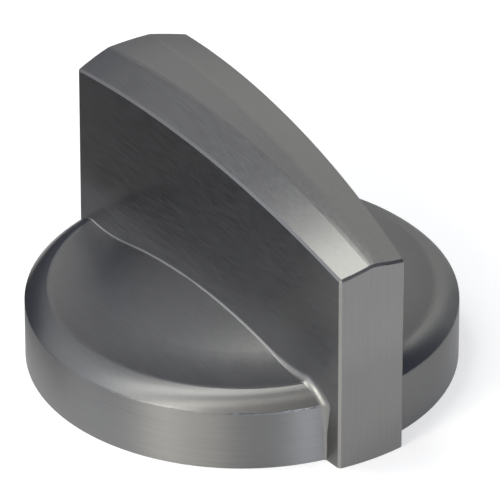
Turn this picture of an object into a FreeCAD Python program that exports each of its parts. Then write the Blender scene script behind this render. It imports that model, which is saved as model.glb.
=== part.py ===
# Stove knob: cast metal knob with a blade grip, for a cooktop valve with a 6 mm D-shaped stem.
# Lengths are in millimetres. Z is the stem axis and points away from the appliance.
# Z = 0 is the lower edge of the skirt, and the pointer looks towards -Y.

import FreeCAD
import Part
import Sketcher
import math
import os

# Driving dimensions
dimensions = {
    # round base, outside
    "base_radius": 25.0,
    "wall_height": 7.2,
    "rim_round": 0.3,
    "shoulder_curve": 5.2,
    "crest_inset": 2.9,
    "crest_round": 1.2,
    "trough_inset": 5.1,
    "trough_curve": 18.0,
    "dome_height": 11.4,
    "dome_curve": 63.0,
    # blade grip, outside
    "pointer_overhang": 2.35,
    "pointer_width": 8.6,
    "back_inset": 0.35,
    "back_width": 14.86,
    "side_curve": 1000.0,
    "crown_height": 30.69,
    "crown_curve": 114.8,
    "crown_setback": 6.0,
    "facet_lift": 0.47,
    "facet_flattening": 1.5,
    "facet_shift": 1.4,
    "facet_slope": 0.25,
    "ridge_round": 2.0,
    "edge_bevel": 0.25,
    "overcut": 5.0,
    # cast inside
    "skirt_wall": 1.8,
    "roof_wall": 1.9,
    "roof_step_radius": 15.0,
    "roof_step_height": 7.6,
    "roof_edge_height": 7.0,
    "roof_corner": 1.4,
    "grip_wall": 1.6,
    "core_web": 1.5,
    "core_draft": 1.0,
    "front_core_drop": 8.29,
    "back_core_drop": 5.09,
    "core_end_wall": 2.0,
    "relief_step": 1.0,
    "rib_count": 6,
    "rib_width": 1.2,
    "rib_depth": 2.4,
    "rib_inner_radius": 13.0,
    "post_spacing": 23.0,
    "post_radius": 2.75,
    "pilot_depth": 4.6,
    # moulded hub
    "barrel_radius": 6.8,
    "barrel_height": 8.5,
    "neck_width": 8.6,
    "neck_length": 10.2,
    "neck_height": 19.4,
    "ear_underside": 2.7,
    "ear_thickness": 1.8,
    "ear_radius": 3.2,
    "key_clearance": 0.1,
    "key_headroom": 0.2,
    "neck_lead": 0.6,
    # stem socket
    "stem_radius": 3.0,
    "stem_flat": 1.6,
    "stem_clearance": 0.05,
    "guide_length": 5.0,
    "guide_clearance": 0.25,
    "socket_depth": 17.0,
    "clip_slot_width": 3.6,
    "clip_slot_reach": 3.6,
    # leaf spring
    "clip_thickness": 0.35,
    "clip_side_clearance": 0.15,
    "clip_end_gap": 0.6,
    "clip_top_foot": 1.2,
    "clip_bite": 0.1,
    # steel band
    "ring_wall": 0.7,
    "ring_height": 2.2,
    # screws
    "screw_radius": 1.3,
    "screw_length": 5.8,
    "screw_tip": 0.7,
    "screw_head_radius": 2.4,
    "screw_head_height": 1.5,
    "screw_head_bevel": 0.6,
    "screw_hole_clearance": 0.2,
    "thread_clearance": 0.02,
    "recess_width": 0.6,
    "recess_span": 2.6,
    "recess_depth": 0.8,
}


class Size:
    """A number together with the sheet expression that it comes from."""

    def __init__(self, number, text):
        self.number = float(number)
        self.text = text

    def combine(self, sign, other, number):
        text = other.text if isinstance(other, Size) else str(other)
        return Size(number, "(%s %s %s)" % (self.text, sign, text))

    def __float__(self):
        return self.number

    def __add__(self, other):
        return self.combine("+", other, self.number + float(other))

    def __sub__(self, other):
        return self.combine("-", other, self.number - float(other))

    def __mul__(self, other):
        return self.combine("*", other, self.number * float(other))

    def __truediv__(self, other):
        return self.combine("/", other, self.number / float(other))

    def __neg__(self):
        return Size(-self.number, "(-%s)" % self.text)


doc = FreeCAD.newDocument("stove_knob")
sheet = doc.addObject("Spreadsheet::Sheet", "Sizes")
size = {}
for row, (name, number) in enumerate(dimensions.items(), start=1):
    sheet.set("A%d" % row, name)
    sheet.set("B%d" % row, str(number))
    sheet.setAlias("B%d" % row, name)
    size[name] = Size(number, "Sizes." + name)
doc.recompute()

# Sizes that follow from the driving dimensions
size["crest_radius"] = size["base_radius"] - size["crest_inset"]
size["trough_radius"] = size["base_radius"] - size["trough_inset"]
size["pointer_reach"] = size["base_radius"] + size["pointer_overhang"]
size["back_reach"] = size["base_radius"] - size["back_inset"]
size["facet_height"] = size["crown_height"] + size["facet_lift"]
size["facet_curve"] = size["crown_curve"] + size["facet_flattening"]
size["facet_setback"] = size["crown_setback"] + size["facet_shift"]
size["front_core_height"] = size["crown_height"] - size["front_core_drop"]
size["back_core_height"] = size["crown_height"] - size["back_core_drop"]


# Sketch helpers


def new_body(name):
    body = doc.addObject("PartDesign::Body", name)
    body.Label = name
    return body


def origin_feature(body, role):
    return next(item for item in body.Origin.OriginFeatures if item.Role == role)


def new_sketch(body, name, plane, height=None):
    """Makes a sketch on an origin plane of its body, or at a height above that plane."""
    sketch = body.newObject("Sketcher::SketchObject", name)
    sketch.AttachmentSupport = [(origin_feature(body, plane), "")]
    sketch.MapMode = "FlatFace"
    if height is not None:
        sketch.setExpression("AttachmentOffset.Base.z", height.text)
    return sketch


def bind(sketch, kind, references, value):
    index = sketch.addConstraint(Sketcher.Constraint(kind, *references, abs(float(value))))
    sketch.setExpression("Constraints[%d]" % index, value.text)


def place(sketch, geometry, point, x=None, y=None):
    """Ties a point of the sketch to its coordinates, and 0 puts it on an axis."""
    for kind, axis, value in (("DistanceX", -2, x), ("DistanceY", -1, y)):
        if value is None:
            continue
        if value == 0:
            sketch.addConstraint(Sketcher.Constraint("PointOnObject", geometry, point, axis))
        elif value.number > 0:
            bind(sketch, kind, (-1, 1, geometry, point), value)
        else:
            bind(sketch, kind, (geometry, point, -1, 1), -value)


def vector(x, y):
    return FreeCAD.Vector(float(x), float(y), 0)


def add_line(sketch, start, end):
    return sketch.addGeometry(Part.LineSegment(vector(*start), vector(*end)))


def add_arc(sketch, centre, radius, start_angle, end_angle):
    """Adds a counter-clockwise arc, with angles in radians."""
    circle = Part.Circle(vector(*centre), FreeCAD.Vector(0, 0, 1), float(radius))
    return sketch.addGeometry(Part.ArcOfCircle(circle, start_angle, end_angle))


def polygon(sketch, corners):
    """Closed outline of straight lines through corners that are tied to the sheet."""
    lines = [add_line(sketch, corners[i], corners[(i + 1) % len(corners)]) for i in range(len(corners))]
    for i, line in enumerate(lines):
        following = lines[(i + 1) % len(lines)]
        sketch.addConstraint(Sketcher.Constraint("Coincident", line, 2, following, 1))
        place(sketch, line, 1, *corners[i])
    return lines


def rectangle(sketch, half_width, low, high):
    return polygon(sketch, [(-half_width, low), (half_width, low), (half_width, high), (-half_width, high)])


def circle(sketch, x, y, radius):
    geometry = sketch.addGeometry(Part.Circle(vector(x, y), FreeCAD.Vector(0, 0, 1), float(radius)))
    place(sketch, geometry, 3, x, y)
    bind(sketch, "Radius", (geometry,), radius)
    return geometry


def join(sketch, kind, *pairs):
    for first, first_point, second, second_point in pairs:
        sketch.addConstraint(Sketcher.Constraint(kind, first, first_point, second, second_point))


# Feature helpers


def pad(body, name, sketch, length, symmetric=False):
    feature = body.newObject("PartDesign::Pad", name)
    feature.Profile = sketch
    feature.SideType = "Symmetric" if symmetric else "One side"
    feature.setExpression("Length", length.text)
    doc.recompute()
    return feature


def pocket(body, name, sketch, depth, symmetric=False, draft=None):
    """Cuts from a level sketch upwards into the piece, or to both sides of an upright one."""
    feature = body.newObject("PartDesign::Pocket", name)
    feature.Profile = sketch
    feature.SideType = "Symmetric" if symmetric else "One side"
    feature.Reversed = not symmetric
    feature.setExpression("Length", depth.text)
    if draft is not None:
        feature.setExpression("TaperAngle", (-draft).text)
    doc.recompute()
    return feature


def turned(body, name, kind, sketch):
    """Revolves a profile about the body's Z axis, as a Revolution or a Groove."""
    feature = body.newObject("PartDesign::" + kind, name)
    feature.Profile = sketch
    feature.ReferenceAxis = (origin_feature(body, "Z_Axis"), [""])
    feature.Angle = 360
    doc.recompute()
    return feature


def dress(body, kind, name, amount, wanted):
    """Fillets or chamfers the edges of the body's tip whose end and middle points pass the test."""
    base = body.Tip
    names = []
    for number, edge in enumerate(base.Shape.Edges, start=1):
        first, last = edge.ParameterRange
        points = [edge.valueAt(first + (last - first) * share) for share in (0.0, 0.5, 1.0)]
        if wanted(edge, points):
            names.append("Edge%d" % number)
    feature = body.newObject("PartDesign::" + kind, name)
    feature.Base = (base, names)
    feature.setExpression("Radius" if kind == "Fillet" else "Size", amount.text)
    doc.recompute()
    return feature


# Distances within which a point counts as lying on a surface, for picking edges
match = 0.01
side_match = 0.06


# Grip plan, shared by the outside and the cores


def grip_half_width(y):
    """Half the grip's width at y, between the straight lines from corner to corner."""
    front = size["pointer_width"] / 2
    back = size["back_width"] / 2
    length = size["pointer_reach"] + size["back_reach"]
    return front + (back - front) * (y + size["pointer_reach"]) / length


# Cast shell


def base_profile(body):
    """Half section of the round base: wall, rim, shoulder, crest, trough and dome."""
    base_radius = float(size["base_radius"])
    wall_height = float(size["wall_height"])
    rim_round = float(size["rim_round"])
    shoulder_curve = float(size["shoulder_curve"])
    crest_radius = float(size["crest_radius"])
    crest_round = float(size["crest_round"])
    trough_radius = float(size["trough_radius"])
    trough_curve = float(size["trough_curve"])
    dome_height = float(size["dome_height"])
    dome_curve = float(size["dome_curve"])

    # Arc centres, each found from its tangent neighbour
    dome = (0.0, dome_height - dome_curve)
    trough_rise = math.sqrt((dome_curve + trough_curve) ** 2 - trough_radius ** 2)
    trough = (trough_radius, dome[1] + trough_rise)
    crest_drop = math.sqrt((trough_curve + crest_round) ** 2 - (crest_radius - trough_radius) ** 2)
    crest = (crest_radius, trough[1] - crest_drop)
    rim = (base_radius - rim_round, wall_height)
    gap = math.hypot(rim[0] - crest[0], rim[1] - crest[1])
    along = (rim[0] - crest[0]) / gap, (rim[1] - crest[1]) / gap
    to_crest = shoulder_curve - crest_round
    to_rim = shoulder_curve - rim_round
    forward = (to_crest ** 2 - to_rim ** 2 + gap ** 2) / (2 * gap)
    aside = math.sqrt(to_crest ** 2 - forward ** 2)
    shoulder = (crest[0] + along[0] * forward + along[1] * aside,
                crest[1] + along[1] * forward - along[0] * aside)

    def angle(centre, target):
        return math.atan2(target[1] - centre[1], target[0] - centre[0])

    sketch = new_sketch(body, "base_profile", "XZ_Plane")
    dome_arc = add_arc(sketch, dome, dome_curve, angle(dome, trough), math.pi / 2)
    trough_arc = add_arc(sketch, trough, trough_curve, angle(trough, dome) + 2 * math.pi,
                         angle(trough, crest) + 2 * math.pi)
    crest_arc = add_arc(sketch, crest, crest_round, angle(shoulder, crest), angle(crest, trough))
    shoulder_arc = add_arc(sketch, shoulder, shoulder_curve, angle(shoulder, rim), angle(shoulder, crest))
    rim_arc = add_arc(sketch, rim, rim_round, 0.0, angle(shoulder, rim))
    wall = add_line(sketch, (base_radius, wall_height), (base_radius, 0))
    floor = add_line(sketch, (base_radius, 0), (0, 0))
    axis = add_line(sketch, (0, 0), (0, dome_height))

    join(sketch, "Tangent", (dome_arc, 1, trough_arc, 1), (trough_arc, 2, crest_arc, 2),
         (crest_arc, 1, shoulder_arc, 2), (shoulder_arc, 1, rim_arc, 2), (rim_arc, 1, wall, 1))
    join(sketch, "Coincident", (wall, 2, floor, 1), (floor, 2, axis, 1), (axis, 2, dome_arc, 2))
    bind(sketch, "Radius", (dome_arc,), size["dome_curve"])
    bind(sketch, "Radius", (trough_arc,), size["trough_curve"])
    bind(sketch, "Radius", (crest_arc,), size["crest_round"])
    bind(sketch, "Radius", (shoulder_arc,), size["shoulder_curve"])
    bind(sketch, "Radius", (rim_arc,), size["rim_round"])
    place(sketch, dome_arc, 3, x=0)
    place(sketch, axis, 2, 0, size["dome_height"])
    place(sketch, trough_arc, 3, x=size["trough_radius"])
    place(sketch, crest_arc, 3, x=size["crest_radius"])
    place(sketch, rim_arc, 3, y=size["wall_height"])
    place(sketch, wall, 2, size["base_radius"], 0)
    sketch.addConstraint(Sketcher.Constraint("Vertical", wall))
    join(sketch, "Coincident", (axis, 1, -1, 1))
    return sketch


def grip_plan(body):
    """Outline of the blade from above: two slightly bowed sides and two ends that follow circles."""
    half_front = size["pointer_width"] / 2
    half_back = size["back_width"] / 2
    front_angle = math.asin(float(half_front) / float(size["pointer_reach"]))
    back_angle = math.asin(float(half_back) / float(size["back_reach"]))
    front_y = -float(size["pointer_reach"]) * math.cos(front_angle)
    back_y = float(size["back_reach"]) * math.cos(back_angle)
    side_length = math.hypot(back_y - front_y, float(half_back) - float(half_front))
    lean = math.atan2(float(half_back) - float(half_front), back_y - front_y)
    half_turn = math.asin(side_length / 2 / float(size["side_curve"]))
    radius = float(size["side_curve"])
    centre_x = float(half_front) - radius * math.cos(-lean - half_turn)
    centre_y = front_y - radius * math.sin(-lean - half_turn)

    sketch = new_sketch(body, "grip_plan", "XY_Plane")
    front = add_arc(sketch, (0, 0), size["pointer_reach"], 1.5 * math.pi - front_angle,
                    1.5 * math.pi + front_angle)
    right = add_arc(sketch, (centre_x, centre_y), radius, -lean - half_turn, -lean + half_turn)
    back = add_arc(sketch, (0, 0), size["back_reach"], 0.5 * math.pi - back_angle,
                   0.5 * math.pi + back_angle)
    left = add_arc(sketch, (-centre_x, centre_y), radius, math.pi + lean - half_turn,
                   math.pi + lean + half_turn)
    join(sketch, "Coincident", (front, 2, right, 1), (right, 2, back, 1), (back, 2, left, 1),
         (left, 2, front, 1), (front, 3, -1, 1), (back, 3, -1, 1))
    bind(sketch, "Radius", (front,), size["pointer_reach"])
    bind(sketch, "Radius", (back,), size["back_reach"])
    bind(sketch, "Radius", (right,), size["side_curve"])
    bind(sketch, "Radius", (left,), size["side_curve"])
    place(sketch, right, 1, x=half_front)
    place(sketch, right, 2, x=half_back)
    place(sketch, left, 2, x=-half_front)
    place(sketch, left, 1, x=-half_back)
    return sketch


def above_arch(body, name, setback, height, curve):
    """Side view of what is cut away above a long arc along the blade."""
    reach = size["pointer_reach"] + size["overcut"]
    top = size["facet_height"] + size["overcut"]
    centre = float(setback), float(height) - float(curve)
    angles = []
    for y in (float(reach), -float(reach)):
        angles.append(math.acos((y - centre[0]) / float(curve)))
    ends = [(centre[0] + float(curve) * math.cos(turn), centre[1] + float(curve) * math.sin(turn))
            for turn in angles]
    sketch = new_sketch(body, name, "YZ_Plane")
    arc = add_arc(sketch, centre, curve, angles[0], angles[1])
    left = add_line(sketch, ends[1], (ends[1][0], top))
    lid = add_line(sketch, (ends[1][0], top), (ends[0][0], top))
    right = add_line(sketch, (ends[0][0], top), ends[0])
    join(sketch, "Coincident", (arc, 2, left, 1), (left, 2, lid, 1), (lid, 2, right, 1), (right, 2, arc, 1))
    bind(sketch, "Radius", (arc,), curve)
    place(sketch, arc, 3, setback, height - curve)
    place(sketch, left, 1, x=-reach)
    place(sketch, left, 2, x=-reach, y=top)
    place(sketch, lid, 2, x=reach, y=top)
    place(sketch, right, 2, x=reach)
    return sketch


def facet_cut(body, name, sketch, side):
    """Planes one side of the crown down, with a cut that slopes away from the middle."""
    cut = body.newObject("PartDesign::Pocket", name)
    cut.Profile = sketch
    cut.UseCustomVector = True
    cut.AlongSketchNormal = True
    cut.Direction = FreeCAD.Vector(side, 0, -float(size["facet_slope"]))
    cut.setExpression("Direction.z", "-" + size["facet_slope"].text)
    cut.setExpression("Length", size["back_width"].text)
    doc.recompute()
    return cut


def underside_profile(body):
    """Half section of the hollow under the base, with a conical roof under the dome."""
    inner_radius = size["base_radius"] - size["skirt_wall"]
    edge_height = size["roof_edge_height"]
    sketch = new_sketch(body, "underside_profile", "XZ_Plane")
    polygon(sketch, [(0, 0), (inner_radius, 0), (inner_radius, edge_height - size["roof_corner"]),
                     (inner_radius - size["roof_corner"], edge_height),
                     (size["roof_step_radius"], size["roof_step_height"]),
                     (0, size["dome_height"] - size["roof_wall"])])
    return sketch


def core_plan(body, name, front, back):
    """Tapered outline of a core in the blade, one wall thickness inside the grip."""
    front_half = grip_half_width(front) - size["grip_wall"]
    back_half = grip_half_width(back) - size["grip_wall"]
    sketch = new_sketch(body, name, "XY_Plane")
    polygon(sketch, [(-front_half, front), (front_half, front), (back_half, back), (-back_half, back)])
    return sketch


def end_edges(reach):
    """Test for the upright corners and top edges of a grip end that follows a circle of this radius."""
    def wanted(edge, points):
        on_end = all(abs(math.hypot(point.x, point.y) - float(reach)) < match for point in points)
        return on_end and max(point.z for point in points) > float(size["dome_height"])
    return wanted


def ridge_edges(edge, points):
    """Test for the two long lines where the crown's middle strip meets its side facets."""
    centre_z = float(size["crown_height"]) - float(size["crown_curve"])
    setback = float(size["crown_setback"])
    on_strip = all(abs(math.hypot(point.y - setback, point.z - centre_z) - float(size["crown_curve"])) < match
                   for point in points)
    return on_strip and abs(points[0].y - points[-1].y) > float(size["back_width"])


def side_top_edges(edge, points):
    """Test for the long upper edges of the two grip sides."""
    high = min(point.z for point in points) > float(size["dome_height"])
    beside = all(abs(abs(point.x) - grip_side(point.y)) < side_match for point in points)
    return high and beside and abs(points[0].y - points[-1].y) > float(size["back_width"])


def grip_side(y):
    """Half the grip's width at y on its bowed side."""
    half_length = float(size["pointer_reach"] + size["back_reach"]) / 2
    middle = float(size["back_reach"] - size["pointer_reach"]) / 2
    bow = (half_length ** 2 - (y - middle) ** 2) / (2 * float(size["side_curve"]))
    return float(grip_half_width(Size(y, ""))) + bow


def build_shell():
    body = new_body("knob_shell")

    # Outside
    turned(body, "base", "Revolution", base_profile(body))
    pad(body, "grip", grip_plan(body), size["crown_height"] + size["overcut"] / 2)
    crown = above_arch(body, "crown_side", size["crown_setback"], size["crown_height"], size["crown_curve"])
    pocket(body, "crown", crown, size["back_width"] * 2, symmetric=True)
    facets = above_arch(body, "facet_side", size["facet_setback"], size["facet_height"], size["facet_curve"])
    facet_cut(body, "right_facet", facets, 1)
    facet_cut(body, "left_facet", facets, -1)
    dress(body, "Fillet", "ridge_rounds", size["ridge_round"], ridge_edges)
    ends = end_edges(size["pointer_reach"]), end_edges(size["back_reach"])
    dress(body, "Chamfer", "edge_bevels", size["edge_bevel"],
          lambda edge, points: ends[0](edge, points) or ends[1](edge, points) or side_top_edges(edge, points))

    # Hollow underside and cores
    turned(body, "underside", "Groove", underside_profile(body))
    key_half_width = size["neck_width"] / 2 + size["key_clearance"]
    key_half_length = size["neck_length"] / 2 + size["key_clearance"]
    key = new_sketch(body, "key_plan", "XY_Plane")
    rectangle(key, key_half_width, -key_half_length, key_half_length)
    pocket(body, "hub_key", key, size["neck_height"] + size["key_headroom"])
    relief = new_sketch(body, "relief_plan", "XY_Plane")
    rectangle(relief, key_half_width - size["relief_step"], -(key_half_length - size["relief_step"]),
              key_half_length - size["relief_step"])
    pocket(body, "relief", relief, size["back_core_height"])
    core_start = key_half_length + size["core_web"]
    front = core_plan(body, "front_core_plan", size["core_end_wall"] - size["pointer_reach"], -core_start)
    pocket(body, "front_core", front, size["front_core_height"], draft=size["core_draft"])
    back = core_plan(body, "back_core_plan", core_start, size["back_reach"] - size["core_end_wall"])
    pocket(body, "back_core", back, size["back_core_height"], draft=size["core_draft"])

    # Ribs under the roof, and posts for the hub's screws
    rib_start = size["rib_inner_radius"]
    rib_end = size["base_radius"] - size["skirt_wall"] / 2
    rib_floor = size["roof_edge_height"] - size["rib_depth"]
    root_height = size["roof_step_height"] + size["roof_wall"] / 2
    rib_side = new_sketch(body, "rib_side", "XZ_Plane")
    polygon(rib_side, [(rib_start, rib_floor), (rib_end, rib_floor), (rib_end, size["roof_edge_height"]),
                       (size["roof_step_radius"], root_height), (rib_start, root_height)])
    rib = pad(body, "rib", rib_side, size["rib_width"], symmetric=True)
    ribs = body.newObject("PartDesign::PolarPattern", "ribs")
    ribs.Originals = [rib]
    ribs.Axis = (origin_feature(body, "Z_Axis"), [""])
    ribs.Angle = 360
    ribs.setExpression("Occurrences", size["rib_count"].text)
    body.Tip = ribs
    doc.recompute()
    post_foot = size["ear_underside"] + size["ear_thickness"]
    posts = new_sketch(body, "post_plan", "XY_Plane", post_foot)
    circle(posts, size["post_spacing"] / 2, 0, size["post_radius"])
    circle(posts, -size["post_spacing"] / 2, 0, size["post_radius"])
    pad(body, "posts", posts, root_height - post_foot)
    pilots = new_sketch(body, "pilot_plan", "XY_Plane", post_foot)
    circle(pilots, size["post_spacing"] / 2, 0, size["screw_radius"] + size["thread_clearance"])
    circle(pilots, -size["post_spacing"] / 2, 0, size["screw_radius"] + size["thread_clearance"])
    pocket(body, "pilots", pilots, size["pilot_depth"])
    return body


# Moulded hub with the stem socket


def ear_plan(body):
    """Plate with round ends that reaches out to both posts."""
    half = size["post_spacing"] / 2
    radius = size["ear_radius"]
    sketch = new_sketch(body, "ear_plan", "XY_Plane", size["ear_underside"])
    right = add_arc(sketch, (half, 0), radius, -math.pi / 2, math.pi / 2)
    top = add_line(sketch, (half, radius), (-half, radius))
    left = add_arc(sketch, (-half, 0), radius, math.pi / 2, 1.5 * math.pi)
    bottom = add_line(sketch, (-half, -radius), (half, -radius))
    join(sketch, "Tangent", (right, 2, top, 1), (top, 2, left, 1), (left, 2, bottom, 1),
         (bottom, 2, right, 1))
    place(sketch, right, 3, half, 0)
    place(sketch, left, 3, -half, 0)
    bind(sketch, "Radius", (right,), radius)
    return sketch


def socket_plan(body, radius, flat):
    """Section of the socket above the guide: a circle with a flat towards the pointer."""
    half_angle = math.acos(float(flat) / float(radius))
    sketch = new_sketch(body, "socket_plan", "XY_Plane", size["guide_length"])
    start = -math.pi / 2 + half_angle
    end = 1.5 * math.pi - half_angle
    arc = add_arc(sketch, (0, 0), radius, start, end)
    corner = float(radius) * math.sin(half_angle), -float(flat)
    chord = add_line(sketch, (-corner[0], corner[1]), corner)
    join(sketch, "Coincident", (arc, 2, chord, 1), (chord, 2, arc, 1), (arc, 3, -1, 1))
    bind(sketch, "Radius", (arc,), radius)
    place(sketch, chord, 1, y=-flat)
    place(sketch, chord, 2, y=-flat)
    return sketch


def build_hub():
    body = new_body("stem_hub")
    barrel = new_sketch(body, "barrel_plan", "XY_Plane")
    circle(barrel, 0, 0, size["barrel_radius"])
    pad(body, "barrel", barrel, size["barrel_height"])
    neck = new_sketch(body, "neck_plan", "XY_Plane", size["barrel_height"])
    rectangle(neck, size["neck_width"] / 2, -size["neck_length"] / 2, size["neck_length"] / 2)
    pad(body, "neck", neck, size["neck_height"] - size["barrel_height"])
    pad(body, "ears", ear_plan(body), size["ear_thickness"])

    # Lead-in round the neck's top
    dress(body, "Chamfer", "neck_lead", size["neck_lead"],
          lambda edge, points: min(point.z for point in points) > float(size["neck_height"]) - match)

    # Socket: round guide at the mouth, D section above it, and a slot that opens into both for the spring
    guide = new_sketch(body, "guide_plan", "XY_Plane")
    circle(guide, 0, 0, size["stem_radius"] + size["guide_clearance"])
    pocket(body, "guide", guide, size["guide_length"])
    socket = socket_plan(body, size["stem_radius"] + size["stem_clearance"],
                         size["stem_flat"] + size["stem_clearance"])
    pocket(body, "socket", socket, size["socket_depth"] - size["guide_length"])
    slot = new_sketch(body, "slot_plan", "XY_Plane")
    rectangle(slot, size["clip_slot_width"] / 2, -size["clip_slot_reach"], -size["stem_flat"] / 2)
    pocket(body, "clip_slot", slot, size["socket_depth"])

    holes = new_sketch(body, "ear_hole_plan", "XY_Plane", size["ear_underside"])
    hole = size["screw_radius"] + size["screw_hole_clearance"]
    circle(holes, size["post_spacing"] / 2, 0, hole)
    circle(holes, -size["post_spacing"] / 2, 0, hole)
    pocket(body, "ear_holes", holes, size["ear_thickness"])
    return body


# Leaf spring at the socket's flat


def build_clip():
    body = new_body("stem_clip")
    back = -size["clip_slot_reach"]
    face = back + size["clip_thickness"]
    crest = -(size["stem_flat"] - size["clip_bite"])
    low = size["clip_end_gap"]
    high = size["socket_depth"] - size["clip_end_gap"]
    bow_start = size["guide_length"]
    bow_end = high - size["clip_top_foot"]
    half_span = (bow_end - bow_start) / 2
    rise = crest - face
    curve = (half_span * half_span + rise * rise) / (rise * 2)
    centre = crest - curve, bow_start + half_span
    inner_curve = curve - size["clip_thickness"]
    outer_angle = math.asin(float(half_span) / float(curve))
    inner_angle = math.acos((float(back) - float(centre[0])) / float(inner_curve))
    inner_half = float(inner_curve) * math.sin(inner_angle)
    middle = float(centre[1])

    sketch = new_sketch(body, "clip_side", "YZ_Plane")
    face_arc = add_arc(sketch, centre, curve, -outer_angle, outer_angle)
    face_top = add_line(sketch, (face, bow_end), (face, high))
    top = add_line(sketch, (face, high), (back, high))
    back_top = add_line(sketch, (back, high), (back, middle + inner_half))
    back_arc = add_arc(sketch, centre, inner_curve, -inner_angle, inner_angle)
    back_foot = add_line(sketch, (back, middle - inner_half), (back, low))
    foot = add_line(sketch, (back, low), (face, low))
    face_foot = add_line(sketch, (face, low), (face, bow_start))
    join(sketch, "Coincident", (face_arc, 2, face_top, 1), (face_top, 2, top, 1), (top, 2, back_top, 1),
         (back_top, 2, back_arc, 2), (back_arc, 1, back_foot, 1), (back_foot, 2, foot, 1),
         (foot, 2, face_foot, 1), (face_foot, 2, face_arc, 1), (face_arc, 3, back_arc, 3))
    bind(sketch, "Radius", (face_arc,), curve)
    bind(sketch, "Radius", (back_arc,), inner_curve)
    place(sketch, face_arc, 3, *centre)
    place(sketch, face_arc, 1, x=face)
    place(sketch, face_arc, 2, x=face)
    place(sketch, back_arc, 1, x=back)
    place(sketch, back_arc, 2, x=back)
    place(sketch, face_top, 2, face, high)
    place(sketch, top, 2, back, high)
    place(sketch, back_foot, 2, back, low)
    place(sketch, foot, 2, face, low)
    pad(body, "strip", sketch, size["clip_slot_width"] - size["clip_side_clearance"] * 2, symmetric=True)
    return body


# Steel band round the hub's mouth


def build_ring():
    body = new_body("hub_ring")
    sketch = new_sketch(body, "ring_section", "XZ_Plane")
    inner = size["barrel_radius"]
    outer = inner + size["ring_wall"]
    top = size["ear_underside"]
    low = top - size["ring_height"]
    polygon(sketch, [(inner, low), (outer, low), (outer, top), (inner, top)])
    turned(body, "band", "Revolution", sketch)
    return body


# Screws


def build_screws():
    body = new_body("hub_screw")
    head_low = size["ear_underside"] - size["screw_head_height"]
    seat = size["ear_underside"]
    end = seat + size["screw_length"]
    sketch = new_sketch(body, "screw_section", "XZ_Plane")
    polygon(sketch, [(0, head_low), (size["screw_head_radius"] - size["screw_head_bevel"], head_low),
                     (size["screw_head_radius"], head_low + size["screw_head_bevel"]),
                     (size["screw_head_radius"], seat), (size["screw_radius"], seat),
                     (size["screw_radius"], end - size["screw_tip"]),
                     (size["screw_radius"] - size["screw_tip"], end), (0, end)])
    turned(body, "turned_screw", "Revolution", sketch)
    recess = new_sketch(body, "recess_plan", "XY_Plane", head_low)
    half = size["recess_width"] / 2
    reach = size["recess_span"] / 2
    polygon(recess, [(half, -reach), (half, -half), (reach, -half), (reach, half),
                     (half, half), (half, reach), (-half, reach), (-half, half),
                     (-reach, half), (-reach, -half), (-half, -half), (-half, -reach)])
    pocket(body, "cross_recess", recess, size["recess_depth"])
    body.setExpression("Placement.Base.x", (size["post_spacing"] / 2).text)

    other = doc.addObject("Part::Mirroring", "other_screw")
    other.Source = body
    other.Normal = FreeCAD.Vector(1, 0, 0)
    pair = doc.addObject("Part::Compound", "hub_screws")
    pair.Label = "hub_screws"
    pair.Links = [body, other]
    doc.recompute()
    return pair


def write_steps(pieces):
    doc.recompute()
    for item in doc.Objects:
        if any(word in item.State for word in ("Invalid", "Error")):
            raise RuntimeError("%s did not build: %s" % (item.Label, item.State))
    os.makedirs("parts", exist_ok=True)
    for piece in pieces:
        shape = piece.Shape
        if shape.isNull() or not shape.isValid():
            raise RuntimeError("%s has no valid solid" % piece.Label)
        shape.exportStep("parts/%s.step" % piece.Label)
        print(piece.Label, len(shape.Solids), "solids", round(shape.Volume, 1), "cubic mm")


write_steps([build_shell(), build_hub(), build_clip(), build_ring(), build_screws()])
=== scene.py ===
# Stove knob in brushed dark nickel, photographed from its pointer side on a pale floor
# Metres throughout, unless a name or a comment says mm. The knob stands on z = 0 and points to -Y

import math

import bmesh
import bpy
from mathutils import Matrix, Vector


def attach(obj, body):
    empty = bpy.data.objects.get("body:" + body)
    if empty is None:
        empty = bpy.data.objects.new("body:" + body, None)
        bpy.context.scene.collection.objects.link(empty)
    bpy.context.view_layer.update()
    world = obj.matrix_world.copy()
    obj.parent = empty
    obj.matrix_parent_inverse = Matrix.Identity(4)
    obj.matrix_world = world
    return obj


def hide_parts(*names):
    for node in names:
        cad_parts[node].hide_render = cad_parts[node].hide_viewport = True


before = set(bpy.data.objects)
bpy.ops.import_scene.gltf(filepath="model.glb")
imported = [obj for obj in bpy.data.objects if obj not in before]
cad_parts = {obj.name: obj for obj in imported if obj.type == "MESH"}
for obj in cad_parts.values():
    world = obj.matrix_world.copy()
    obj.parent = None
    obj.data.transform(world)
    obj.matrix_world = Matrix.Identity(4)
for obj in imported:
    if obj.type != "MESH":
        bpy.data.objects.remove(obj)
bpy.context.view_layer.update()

mm = 0.001
noiseLow, noiseHigh = 0.3, 0.7    # most of a noise texture's values lie between these
scene = bpy.context.scene


# --- node and object helpers

def hexToLinear(text):
    channels = [int(text[i:i + 2], 16) / 255 for i in (1, 3, 5)]
    return [c / 12.92 if c <= 0.04045 else ((c + 0.055) / 1.055) ** 2.4 for c in channels] + [1.0]


def addNode(tree, kind, **given):
    # Names with a capital are the node's sockets, and i0, i1... are sockets by number; each takes a
    # value or another node's output. Other names are the node's own settings. Its first output in use
    # comes back. A MapRange's i1 to i4 are From Min, From Max, To Min and To Max
    node = tree.nodes.new("ShaderNode" + kind)
    for name, value in given.items():
        numbered = name[1:].isdigit()
        if name[0].islower() and not numbered:
            setattr(node, name, value)
            continue
        socket = node.inputs[int(name[1:]) if numbered else name.replace("_", " ")]
        if isinstance(value, bpy.types.NodeSocket):
            tree.links.new(value, socket)
        else:
            socket.default_value = value
    return next((output for output in node.outputs if output.enabled), None)


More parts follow.
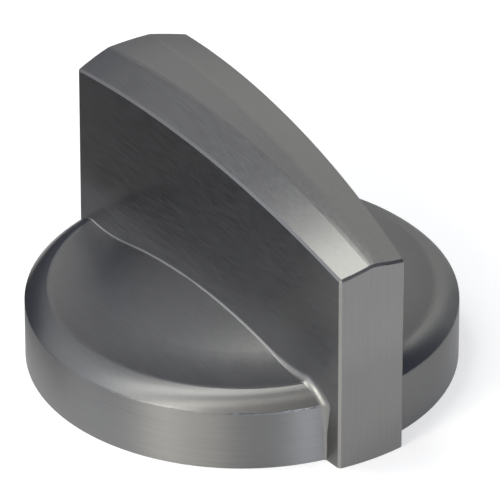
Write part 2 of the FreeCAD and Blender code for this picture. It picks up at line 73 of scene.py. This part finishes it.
def newMaterial(name):
    material = bpy.data.materials.new(name)
    material.use_nodes = True
    material.node_tree.nodes.clear()
    return material, material.node_tree


def setMaterial(obj, material):
    obj.data.materials.clear()
    obj.data.materials.append(material)


def newObject(name, shape):
    obj = bpy.data.objects.new(name, bpy.data.meshes.new(name))
    scene.collection.objects.link(obj)
    shape.to_mesh(obj.data)
    shape.free()
    return obj


def closeRings(shape, rings):
    # skins a row of rings, all with as many points, and caps both ends
    for a, b in zip(rings, rings[1:]):
        for i in range(len(a)):
            shape.faces.new((a[i - 1], a[i], b[i], b[i - 1])).smooth = True
    shape.faces.new(rings[0])
    shape.faces.new(rings[-1])
    bmesh.ops.recalc_face_normals(shape, faces=shape.faces)


# --- brushed metal of the shell

# Dark nickel plate over a brushed zinc casting. The belt leaves long parallel scratches, so highlights
# stretch across them; the plate is thin and smooth, a little warm, and darker than bare nickel
brushedNickel = {
    "colour": "#7f7f7e",
    "roughness": 0.35,
    "baseRoughness": 0.45,        # the base was brushed with a coarser belt than the blade
    "baseToBlade": (12 * mm, 16 * mm),
    "anisotropy": 0.9,
    "scratchWidth": 0.16 * mm,    # real ones are about 0.04 mm, too fine to show, so four times that
    "scratchLength": 10 * mm,
    "scratchDepth": 0.0016 * mm,
    "scratchRange": (0.25, 0.75),
    "scratchTone": 0.09,
    "scratchRoughness": 0.05,
    "cloudSize": 11 * mm,
    "cloudTone": 0.03,
    "castRoughness": 0.6,
    "pebbleSize": 0.5 * mm,
    "pebbleDepth": 0.02 * mm,
    # Which face is which: an upright one's normal rises less than this, and an end's faces this far along Y
    "uprightBelow": 0.66,
    "endAbove": 0.8,
    "wallRadius": 25 * mm,
    "wallMargin": 0.12 * mm,
    "wallHeight": 7.42 * mm,
    # The hollow underneath: below a cone that falls outwards, and in a box that widens backwards
    "footHeight": 0.02 * mm,
    "hollowRadius": 23.9 * mm,
    "coneHeight": 10.2 * mm,
    "coneSlope": -0.1,
    "coreMiddle": -1.5 * mm,
    "coreReach": 24.7 * mm,
    "coreHalf": 5.04 * mm,
    "coreWidening": 0.06,
    "coreTops": (22.6 * mm, 25.8 * mm),
}


def makeBrushedMetal(name, look):
    material, tree = newMaterial(name)
    place = addNode(tree, "TexCoord").node.outputs["Object"]
    geometry = addNode(tree, "NewGeometry").node.outputs
    x, y, z = addNode(tree, "SeparateXYZ", Vector=place).node.outputs
    face = addNode(tree, "SeparateXYZ", Vector=geometry["True Normal"]).node.outputs
    radius = addNode(tree, "VectorMath", operation="LENGTH", i0=addNode(tree, "CombineXYZ", X=x, Y=y))
    turn = addNode(tree, "Math", operation="ARCTAN2", i0=y, i1=x)

    # Which way each face was brushed: the skirt's wall round and round, the blade's two ends up and
    # down, and everything else along the blade
    rise = addNode(tree, "Math", operation="ABSOLUTE", i0=face["Z"])
    upright = addNode(tree, "Math", operation="LESS_THAN", i0=rise, i1=look["uprightBelow"])
    atWall = addNode(tree, "Math", operation="COMPARE", i0=radius, i1=look["wallRadius"],
                     i2=look["wallMargin"])
    belowRim = addNode(tree, "Math", operation="LESS_THAN", i0=z, i1=look["wallHeight"])
    onWall = addNode(tree, "Math", operation="MULTIPLY", i0=atWall, i1=upright)
    onWall = addNode(tree, "Math", operation="MULTIPLY", i0=onWall, i1=belowRim)
    facing = addNode(tree, "Math", operation="ABSOLUTE", i0=face["Y"])
    facing = addNode(tree, "Math", operation="GREATER_THAN", i0=facing, i1=look["endAbove"])
    onEnd = addNode(tree, "Math", operation="MULTIPLY", i0=upright, i1=facing)
    around = addNode(tree, "VectorMath", operation="CROSS_PRODUCT", i0=(0, 0, 1), i1=place)
    around = addNode(tree, "VectorMath", operation="NORMALIZE", i0=around)
    brushing = addNode(tree, "Mix", data_type="VECTOR", i0=onEnd, i4=(0, 1, 0), i5=(0, 0, 1))
    brushing = addNode(tree, "Mix", data_type="VECTOR", i0=onWall, i4=brushing, i5=around)
    # The shader spreads a highlight along its tangent, and brushed metal spreads it across the scratches
    across = addNode(tree, "VectorMath", operation="CROSS_PRODUCT", i0=geometry["Normal"], i1=brushing)

    # Scratches: noise squeezed to the scratch width across the brushing and drawn out along it
    thin, long = 1 / look["scratchWidth"], 1 / look["scratchLength"]
    lengthwise = addNode(tree, "VectorMath", operation="MULTIPLY", i0=place, i1=(thin, long, thin))
    upDown = addNode(tree, "VectorMath", operation="MULTIPLY", i0=place, i1=(thin, thin, long))
    roundAbout = addNode(tree, "CombineXYZ", X=radius, Y=turn, Z=z)
    roundAbout = addNode(tree, "VectorMath", operation="MULTIPLY", i0=roundAbout,
                         i1=(thin, look["wallRadius"] * long, thin))
    grain = addNode(tree, "Mix", data_type="VECTOR", i0=onEnd, i4=lengthwise, i5=upDown)
    grain = addNode(tree, "Mix", data_type="VECTOR", i0=onWall, i4=grain, i5=roundAbout)
    scratches = addNode(tree, "TexNoise", Vector=grain, Scale=1.0, Detail=2.0, Roughness=0.6)

    # No belt reaches the hollow underneath or the cores, which keep the casting's pebbled skin. The foot
    # was ground flat
    cone = addNode(tree, "Math", operation="MULTIPLY_ADD", i0=radius, i1=look["coneSlope"],
                   i2=look["coneHeight"])
    underCone = addNode(tree, "Math", operation="LESS_THAN", i0=z, i1=cone)
    inSkirt = addNode(tree, "Math", operation="LESS_THAN", i0=radius, i1=look["hollowRadius"])
    inHollow = addNode(tree, "Math", operation="MULTIPLY", i0=underCone, i1=inSkirt)
    half = addNode(tree, "Math", operation="MULTIPLY_ADD", i0=y, i1=look["coreWidening"],
                   i2=look["coreHalf"])
    aside = addNode(tree, "Math", operation="ABSOLUTE", i0=x)
    inWidth = addNode(tree, "Math", operation="LESS_THAN", i0=aside, i1=half)
    inLength = addNode(tree, "Math", operation="COMPARE", i0=y, i1=look["coreMiddle"],
                       i2=look["coreReach"])
    frontTop, backTop = look["coreTops"]
    behind = addNode(tree, "Math", operation="GREATER_THAN", i0=y, i1=0.0)
    top = addNode(tree, "MapRange", Value=behind, i3=frontTop, i4=backTop)
    underTop = addNode(tree, "Math", operation="LESS_THAN", i0=z, i1=top)
    inCore = addNode(tree, "Math", operation="MULTIPLY", i0=inWidth, i1=inLength)
    inCore = addNode(tree, "Math", operation="MULTIPLY", i0=inCore, i1=underTop)
    offFoot = addNode(tree, "Math", operation="GREATER_THAN", i0=z, i1=look["footHeight"])
    asCast = addNode(tree, "Math", operation="MAXIMUM", i0=inHollow, i1=inCore)
    asCast = addNode(tree, "Math", operation="MULTIPLY", i0=asCast, i1=offFoot)
    pebbles = addNode(tree, "TexNoise", Vector=place, Scale=1 / look["pebbleSize"], Detail=3.0,
                      Roughness=0.6)

    # Scratches or pebbles, and faint clouds where the plate is thicker, change the tone a little
    marks = addNode(tree, "Mix", i0=asCast, i2=scratches, i3=pebbles)
    shallow, deep = look["scratchRange"]
    tone = addNode(tree, "MapRange", Value=marks, i1=shallow, i2=deep, i3=1 - look["scratchTone"],
                   i4=1 + look["scratchTone"])
    clouds = addNode(tree, "TexNoise", Vector=place, Scale=1 / look["cloudSize"], Detail=2.0,
                     Roughness=0.5)
    cloudTone = addNode(tree, "MapRange", Value=clouds, i1=noiseLow, i2=noiseHigh,
                        i3=1 - look["cloudTone"], i4=1 + look["cloudTone"])
    tone = addNode(tree, "Math", operation="MULTIPLY", i0=tone, i1=cloudTone)
    colour = addNode(tree, "VectorMath", operation="SCALE", i0=hexToLinear(look["colour"])[:3],
                     Scale=tone)

    low, high = look["baseToBlade"]
    belt = addNode(tree, "MapRange", Value=z, i1=low, i2=high, i3=look["baseRoughness"],
                   i4=look["roughness"])
    belt = addNode(tree, "Mix", i0=asCast, i2=belt, i3=look["castRoughness"])
    ripple = addNode(tree, "MapRange", Value=marks, i1=shallow, i2=deep, i3=-look["scratchRoughness"],
                     i4=look["scratchRoughness"])
    roughness = addNode(tree, "Math", operation="ADD", i0=belt, i1=ripple)
    deeper = addNode(tree, "Mix", i0=asCast, i2=1.0, i3=look["pebbleDepth"] / look["scratchDepth"])
    height = addNode(tree, "Math", operation="MULTIPLY", i0=marks, i1=deeper)
    bump = addNode(tree, "Bump", Distance=look["scratchDepth"], Height=height)

    shader = addNode(tree, "BsdfPrincipled", Base_Color=colour, Metallic=1.0, Roughness=roughness,
                     Anisotropic=look["anisotropy"], Tangent=across, Normal=bump)
    addNode(tree, "OutputMaterial", Surface=shader)
    return material


setMaterial(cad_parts["knob_shell"], makeBrushedMetal("brushedDarkNickel", brushedNickel))
print("shell: brushed dark nickel set")


# --- foot of the blade

# The casting's round where the blade's sides meet the base, lit as a thin line in the photograph. It is
# small along the dome, larger over the shoulder, and fades again down the inner corner to the foot of the
# wall. All of it in mm. The belt doesn't reach into the corner, so the plate there keeps an even, brighter
# gloss without scratches
footRound = {
    "radius": 0.3,
    "cornerRadius": 1.05,
    "backRadius": 0.2,
    "changeFrom": 15,    # distance from the axis where the radius starts to change, and where it's done
    "changeTo": 23,
    "backEnd": 23.2,
    "segments": 6,
    "sink": 0.03,
    "sharpAngle": 50,    # degrees
    "colour": "#838381",
    "roughness": 0.4,
    "grainSize": 0.6,
    "grainDepth": 0.003,
    "grainRoughness": 0.04,
}
# The base's outside, in mm, arc by arc from the middle: the centre's radius and height, the arc's radius
# (below 0 where hollow), its first and last angle in degrees, and its steps. Then the wall
baseArcs = [
    (0, -51.6, 63, 84, 75.78, 12),
    (19.9, 26.917, -18, 255.78, 276.58, 12),
    (22.1, 7.844, 1.2, 96.58, 73.86, 5),
    (20.988, 4.002, 5.2, 73.86, 40.75, 10),
    (24.7, 7.2, 0.3, 40.75, 0, 4),
]
wall = {"radius": 25, "height": 7.2, "steps": 4}
blade = {"pointerEnd": -27.35, "length": 52, "pointerHalf": 4.3, "backHalf": 7.43, "sideCurve": 1000}


def bladeHalf(y):
    along = (y - blade["pointerEnd"]) / blade["length"]
    straight = blade["pointerHalf"] + (blade["backHalf"] - blade["pointerHalf"]) * along
    return straight + blade["length"] ** 2 * along * (1 - along) / (2 * blade["sideCurve"])


def baseSamples():
    # points down the base's section as radius and height, with the outward normal there
    samples = []
    for centre, height, radius, first, last, steps in baseArcs:
        hollow = -1 if radius < 0 else 1
        for i in range(steps):
            a = math.radians(first + (last - first) * i / steps)
            out = (math.cos(a), math.sin(a))
            samples.append((centre + abs(radius) * out[0], height + abs(radius) * out[1],
                            hollow * out[0], hollow * out[1]))
    for i in range(wall["steps"] + 1):
        samples.append((wall["radius"], wall["height"] * (1 - i / wall["steps"]), 1, 0))
    return samples


def footPath(look, end):
    # a ball rolled along the corner, from the blade's middle to its pointer (end -1) or its back (end 1)
    path = []
    endRadius = look["cornerRadius" if end < 0 else "backRadius"]
    for r, z, outR, outZ in baseSamples():
        if r == wall["radius"]:
            change = max(2 * z / wall["height"] - 1, 0)
        else:
            change = (r - look["changeFrom"]) / (look["changeTo"] - look["changeFrom"])
        ball = look["radius"] + (endRadius - look["radius"]) * min(max(change, 0), 1)
        reach = r + ball * outR
        y = 0
        for attempt in range(8):    # the blade's width depends on y, and settles within eight
            x = bladeHalf(y) + ball
            y = end * math.sqrt(max(reach ** 2 - x ** 2, 0))
        if reach > x and not (end > 0 and y > look["backEnd"]):
            out = Vector((outR * x / reach, outR * y / reach, outZ))
            path.append((ball, Vector((x, y, z + ball * outZ)), out))
    return path


def makeFootRound(name, side, look):
    shape = bmesh.new()
    rings = []
    step = 0.1
    for ball, centre, out in footPath(look, 1)[::-1] + footPath(look, -1):
        slope = (bladeHalf(centre.y + step) - bladeHalf(centre.y - step)) / (2 * step)
        toBlade = Vector((-1, slope, 0)).normalized()
        toBase = -out
        ring = []
        for i in range(look["segments"] + 1):
            ring.append(centre + toBlade.slerp(toBase, i / look["segments"]) * ball)
        corner = centre + (toBlade + toBase) * (ball + look["sink"])
        ring[0] += toBlade * look["sink"]
        ring[-1] += toBase * look["sink"]
        ring.append(corner)
        rings.append([shape.verts.new((side * p.x * mm, p.y * mm, max(p.z, 0) * mm)) for p in ring])
    closeRings(shape, rings)
    piece = newObject(name, shape)
    piece.data.set_sharp_from_angle(angle=math.radians(look["sharpAngle"]))
    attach(piece, "root")
    return piece


def makeCornerMetal(name, look):
    material, tree = newMaterial(name)
    place = addNode(tree, "TexCoord").node.outputs["Object"]
    grain = addNode(tree, "TexNoise", Vector=place, Scale=1 / (look["grainSize"] * mm), Detail=3.0)
    roughness = addNode(tree, "MapRange", Value=grain, i1=noiseLow, i2=noiseHigh,
                        i3=look["roughness"] - look["grainRoughness"],
                        i4=look["roughness"] + look["grainRoughness"])
    bump = addNode(tree, "Bump", Distance=look["grainDepth"] * mm, Height=grain)
    shader = addNode(tree, "BsdfPrincipled", Base_Color=hexToLinear(look["colour"]), Metallic=1.0,
                     Roughness=roughness, Normal=bump)
    addNode(tree, "OutputMaterial", Surface=shader)
    return material


cornerMetal = makeCornerMetal("nickelInTheCorner", footRound)
for name, side in (("foot_round_left", -1), ("foot_round_right", 1)):
    setMaterial(makeFootRound(name, side, footRound), cornerMetal)
print("shell: rounds along the blade's foot")


# --- hub, clip and band, seen from below

# Glass-filled nylon, injection moulded: nearly black, with a dull sheen. The fibres lie just under the
# skin as a fine grain, and the melt's flow leaves faint cloudy streaks
hubPlastic = {
    "colour": "#202021",
    "roughness": 0.5,
    "grainSize": 0.25 * mm,
    "grainDepth": 0.008 * mm,
    "grainRoughness": 0.07,
    "flowSize": 4 * mm,
    "flowTone": 0.18,
}


def makeMouldedPlastic(name, look):
    material, tree = newMaterial(name)
    place = addNode(tree, "TexCoord").node.outputs["Object"]
    grain = addNode(tree, "TexNoise", Vector=place, Scale=1 / look["grainSize"], Detail=4.0,
                    Roughness=0.6)
    flow = addNode(tree, "TexNoise", Vector=place, Scale=1 / look["flowSize"], Detail=3.0,
                   Distortion=1.5)
    tone = addNode(tree, "MapRange", Value=flow, i1=noiseLow, i2=noiseHigh, i3=1 - look["flowTone"],
                   i4=1 + look["flowTone"])
    colour = addNode(tree, "VectorMath", operation="SCALE", i0=hexToLinear(look["colour"])[:3],
                     Scale=tone)
    roughness = addNode(tree, "MapRange", Value=grain, i1=noiseLow, i2=noiseHigh,
                        i3=look["roughness"] - look["grainRoughness"],
                        i4=look["roughness"] + look["grainRoughness"])
    bump = addNode(tree, "Bump", Distance=look["grainDepth"], Height=grain)
    shader = addNode(tree, "BsdfPrincipled", Base_Color=colour, Roughness=roughness, Normal=bump)
    addNode(tree, "OutputMaterial", Surface=shader)
    return material


# Rolled spring steel: lines run along the strip, so the noise is drawn out along that axis, and tempering
# leaves it a little brown in patches
springSteel = {
    "colour": "#8f8d88",
    "roughness": (0.28, 0.42),
    "lines": (0.12 * mm, 0.12 * mm, 6 * mm),
    "depth": 0.002 * mm,
    "tone": 0.1,
    "stain": "#6f6a60",
    "stainSize": 3 * mm,
}
# Zinc-plated strip: paler and bluish, with the plating's cloudy spangle over faint lines around the band
zincStrip = {
    "colour": "#b4b7b9",
    "roughness": (0.24, 0.38),
    "lines": (1.5 * mm, 1.5 * mm, 0.15 * mm),
    "depth": 0.0015 * mm,
    "tone": 0.07,
    "stain": "#9fa5ab",
    "stainSize": 2 * mm,
}


def makeSteel(name, look):
    material, tree = newMaterial(name)
    place = addNode(tree, "TexCoord").node.outputs["Object"]
    finer = addNode(tree, "VectorMath", operation="DIVIDE", i0=place, i1=look["lines"])
    lines = addNode(tree, "TexNoise", Vector=finer, Scale=1.0, Detail=3.0)
    cloud = addNode(tree, "TexNoise", Vector=place, Scale=1 / look["stainSize"], Detail=4.0,
                    Distortion=0.6)
    stain = addNode(tree, "MapRange", Value=cloud, i1=0.45, i2=0.75)
    mixed = addNode(tree, "Mix", data_type="RGBA", i0=stain, i6=hexToLinear(look["colour"]),
                    i7=hexToLinear(look["stain"]))
    tone = addNode(tree, "MapRange", Value=lines, i1=noiseLow, i2=noiseHigh, i3=1 - look["tone"],
                   i4=1 + look["tone"])
    colour = addNode(tree, "VectorMath", operation="SCALE", i0=mixed, Scale=tone)
    smoothest, roughest = look["roughness"]
    roughness = addNode(tree, "MapRange", Value=cloud, i1=noiseLow, i2=noiseHigh, i3=smoothest,
                        i4=roughest)
    bump = addNode(tree, "Bump", Distance=look["depth"], Height=lines)
    shader = addNode(tree, "BsdfPrincipled", Base_Color=colour, Metallic=1.0, Roughness=roughness,
                     Normal=bump)
    addNode(tree, "OutputMaterial", Surface=shader)
    return material


setMaterial(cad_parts["stem_hub"], makeMouldedPlastic("mouldedGlassFilledNylon", hubPlastic))
setMaterial(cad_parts["stem_clip"], makeSteel("rolledSpringSteel", springSteel))
setMaterial(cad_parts["hub_ring"], makeSteel("zincPlatedStrip", zincStrip))
print("hub, clip and band: plastic and steel set")


# --- screws

# Zinc-plated, with the same plating as the band over a rolled thread and a headed end
zincScrew = {
    "colour": "#b1b3b3",
    "roughness": (0.21, 0.35),
    "lines": (0.5 * mm, 0.5 * mm, 0.5 * mm),
    "depth": 0.003 * mm,
    "tone": 0.09,
    "stain": "#a39c8c",
    "stainSize": 1.2 * mm,
}
# Pan-head thread-forming screws, heads down. All in mm, and heights are from the head's outer face
screw = {
    "at": 11.5,
    "faceHeight": 1.2,
    "faceRings": (0.5, 1.0, 1.4, 1.7),
    "headRadius": 2.4,
    "headHeight": 1.5,
    "headEdge": 0.55,
    "edgeSteps": 6,
    "neckRound": 0.25,
    "threadFrom": 0.1,
    "shank": 5.8,
    "threadRadius": 1.29,
    "coreRadius": 1.0,
    "pitch": 0.9,
    "ringsPerPitch": 8,
    "flankSteepness": 2.6,
    "threadFade": 0.5,
    "tip": 0.9,
    "tipScale": 0.35,
    "crossWidth": 0.6,
    "crossSpan": 2.6,
    "crossDepth": 0.8,
    "crossScales": (1.1, 0.8),    # at the mouth and at the bottom, which is narrower
    "cutterAbove": 0.5,
    "segments": 48,
    "sharpAngle": 35,
}


def screwRows(look):
    # height, radius and whether the thread stands on it, from the head's middle to the tip
    rows = [(0, r, False) for r in look["faceRings"]]
    edge, headHeight = look["headEdge"], look["headHeight"]
    for i in range(look["edgeSteps"] + 1):
        a = math.pi / 2 * i / look["edgeSteps"]
        rows.append((edge * (1 - math.cos(a)), look["headRadius"] - edge * (1 - math.sin(a)), False))
    rows.append((headHeight, look["headRadius"], False))
    rows.append((headHeight, look["coreRadius"] + look["neckRound"], False))
    first, last = headHeight + look["threadFrom"], headHeight + look["shank"]
    steps = int((last - first) / look["pitch"] * look["ringsPerPitch"])
    return rows + [(first + (last - first) * i / steps, look["coreRadius"], True) for i in range(steps + 1)]


def threadedRadius(look, height, share):
    # share is how far round the screw the point lies, from 0 to 1
    toEnd = look["headHeight"] + look["shank"] - height
    phase = (height / look["pitch"] - share) % 1
    ridge = max(0, 1 - abs(phase - 0.5) * look["flankSteepness"])
    fade = min(1, (height - look["headHeight"]) / look["threadFade"], toEnd / look["tip"])
    taper = min(1, look["tipScale"] + (1 - look["tipScale"]) * toEnd / look["tip"])
    return look["coreRadius"] * taper + (look["threadRadius"] - look["coreRadius"]) * ridge * max(fade, 0)


def makeCross(name, side, look):
    # the solid that the driver's cross is cut with
    half, reach = look["crossWidth"] / 2, look["crossSpan"] / 2
    arm = [(half, -reach), (half, -half), (reach, -half)]
    plan = []
    for quarter in range(4):
        plan += arm
        arm = [(-y, x) for x, y in arm]
    shape = bmesh.new()
    rings = []
    for height, scale in zip((-look["cutterAbove"], look["crossDepth"]), look["crossScales"]):
        z = look["faceHeight"] + height
        rings.append([shape.verts.new(((side * look["at"] + x * scale) * mm, y * scale * mm, z * mm))
                      for x, y in plan])
    closeRings(shape, rings)
    return newObject(name, shape)


def makeScrew(name, side, look):
    shape = bmesh.new()
    count = look["segments"]
    rings = []
    for height, radius, threaded in screwRows(look):
        ring = []
        for i in range(count):
            r = threadedRadius(look, height, i / count) if threaded else radius
            a = math.tau * i / count
            x = side * look["at"] + r * math.cos(a)
            z = look["faceHeight"] + height
            ring.append(shape.verts.new((x * mm, r * math.sin(a) * mm, z * mm)))
        rings.append(ring)
    closeRings(shape, rings)
    piece = newObject(name, shape)

    cross = makeCross("cross", side, look)
    cut = piece.modifiers.new("cross", "BOOLEAN")
    cut.operation = "DIFFERENCE"
    cut.solver = "EXACT"
    cut.object = cross
    made = bpy.data.meshes.new_from_object(piece.evaluated_get(bpy.context.evaluated_depsgraph_get()))
    piece.modifiers.clear()
    piece.data = made
    bpy.data.objects.remove(cross)
    made.set_sharp_from_angle(angle=math.radians(look["sharpAngle"]))
    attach(piece, "root")
    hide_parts("hub_screws")
    return piece


screwMetal = makeSteel("zincPlatedScrew", zincScrew)
for name, side in (("screw_left", -1), ("screw_right", 1)):
    setMaterial(makeScrew(name, side, screw), screwMetal)
print("screws: threads and driver's crosses")


# --- camera

# The photograph's view, fitted to the knob's outline and corners. It is a long lens, and towards points
# from the knob to the camera
view = {
    "lens": 543.6,
    "sensor": 36,
    "clipEnd": 20,
    "distance": 864.3 * mm,
    "lookAt": (0.79 * mm, -0.48 * mm, 13.4 * mm),
    "towards": (-0.4573, -0.7143, 0.5296),
}
camera = bpy.data.objects.new("camera", bpy.data.cameras.new("camera"))
scene.collection.objects.link(camera)
camera.data.lens = view["lens"]
camera.data.sensor_width = view["sensor"]
camera.data.clip_end = view["clipEnd"]
back = Vector(view["towards"]).normalized()
camera.location = Vector(view["lookAt"]) + back * view["distance"]
camera.rotation_euler = back.to_track_quat("Z", "Y").to_euler()
scene.camera = camera


# --- floor, card and world

studio = {
    "floorHalf": 3,
    "floorHeight": -0.05 * mm,
    "floorColour": "#bababa",
    "floorRoughness": 0.7,
    "floorGlow": 0.6,
    "worldStrength": 0.24,
    "worldColour": "#dae0ff",
}
shape = bmesh.new()
bmesh.ops.create_grid(shape, x_segments=8, y_segments=8, size=studio["floorHalf"])
floor = newObject("floor", shape)
floor.location.z = studio["floorHeight"]
# Only the camera and reflections see the glow, so it whitens the floor and isn't one more lamp
material, tree = newMaterial("paleFloor")
path = addNode(tree, "LightPath").node.outputs
seen = addNode(tree, "Math", operation="MAXIMUM", i0=path["Is Camera Ray"], i1=path["Is Glossy Ray"])
seen = addNode(tree, "Math", operation="MAXIMUM", i0=seen, i1=path["Is Transmission Ray"])
glow = addNode(tree, "Math", operation="MULTIPLY", i0=seen, i1=studio["floorGlow"])
shader = addNode(tree, "BsdfPrincipled", Base_Color=hexToLinear(studio["floorColour"]),
                 Roughness=studio["floorRoughness"], Emission_Color=(1, 1, 1, 1), Emission_Strength=glow)
addNode(tree, "OutputMaterial", Surface=shader)
setMaterial(floor, material)

# A black card lying round the knob's back and sides, out of the picture, that only the metal's
# reflections see: it gives the blade's left side, the dome's crescent and the right of the wall their
# dark tone. The edge is azimuth in degrees, from the pointer's side towards +X, and radius in mm
card = {
    "edge": [(56, 60), (197, 60), (200, 34), (256, 34), (259, 60), (282, 60)],
    "steps": 8,
    "outer": 1500,
    "colour": "#1a1a1a",
    "roughness": 0.9,
}
shape = bmesh.new()
rows = []
for (a0, r0), (a1, r1) in zip(card["edge"], card["edge"][1:]):
    for i in range(card["steps"]):
        share = i / card["steps"]
        a, r = math.radians(a0 + (a1 - a0) * share), r0 + (r1 - r0) * share
        rows.append([shape.verts.new((math.sin(a) * d * mm, -math.cos(a) * d * mm, 0))
                     for d in (r, card["outer"])])
for a, b in zip(rows, rows[1:]):
    shape.faces.new((a[0], a[1], b[1], b[0]))
blackCard = newObject("black_card", shape)
blackCard.visible_camera = False
blackCard.visible_diffuse = False
blackCard.visible_shadow = False
material, tree = newMaterial("blackCard")
shader = addNode(tree, "BsdfPrincipled", Base_Color=hexToLinear(card["colour"]),
                 Roughness=card["roughness"])
addNode(tree, "OutputMaterial", Surface=shader)
setMaterial(blackCard, material)

world = bpy.data.worlds.new("studio")
scene.world = world
world.use_nodes = True
background = world.node_tree.nodes["Background"]
background.inputs["Color"].default_value = hexToLinear(studio["worldColour"])
background.inputs["Strength"].default_value = studio["worldStrength"]


# --- lamps

# Soft boxes round the knob. Glow is how bright each looks in the metal, 1 being white, and size is its
# disc's width in metres
lampDistance = 0.9
lamps = {
    "above": {"azimuth": 216, "elevation": 77, "size": 0.22, "glow": 15.3, "colour": "#fffff6"},
    "aboveBehind": {"azimuth": 225, "elevation": 65, "size": 0.22, "glow": 4.4, "colour": "#fffff6"},
    "leftBehind": {"azimuth": 231, "elevation": 41, "size": 1.2, "glow": 1.0, "colour": "#fefeff"},
    "left": {"azimuth": 270, "elevation": 29, "size": 1.2, "glow": 0.3, "colour": "#d0dcff"},
    "leftKey": {"azimuth": 283, "elevation": 41, "size": 0.22, "glow": 23, "colour": "#fffcef"},
    "frontLeft": {"azimuth": 300, "elevation": 17, "size": 0.7, "glow": 2.95, "colour": "#fff9eb"},
    "front": {"azimuth": 0, "elevation": 17, "size": 0.22, "glow": 18, "colour": "#eef4ff"},
    "rightBehind": {"azimuth": 135, "elevation": 29, "size": 0.75, "glow": 0.83, "colour": "#fffdf0"},
}
for name, look in lamps.items():
    a, e = math.radians(look["azimuth"]), math.radians(look["elevation"])
    towards = Vector((math.sin(a) * math.cos(e), -math.cos(a) * math.cos(e), math.sin(e)))
    lamp = bpy.data.objects.new(name, bpy.data.lights.new(name, "AREA"))
    scene.collection.objects.link(lamp)
    lamp.data.shape = "DISK"
    lamp.data.size = look["size"]
    # in watts, pi times the disc's area for a glow of 1
    lamp.data.energy = look["glow"] * (math.pi * look["size"] / 2) ** 2
    lamp.data.color = hexToLinear(look["colour"])[:3]
    lamp.location = towards * lampDistance
    lamp.rotation_euler = towards.to_track_quat("Z", "Y").to_euler()
print("studio: floor, card, world and %d lamps" % len(lamps))

scene.view_settings.view_transform = "Standard"
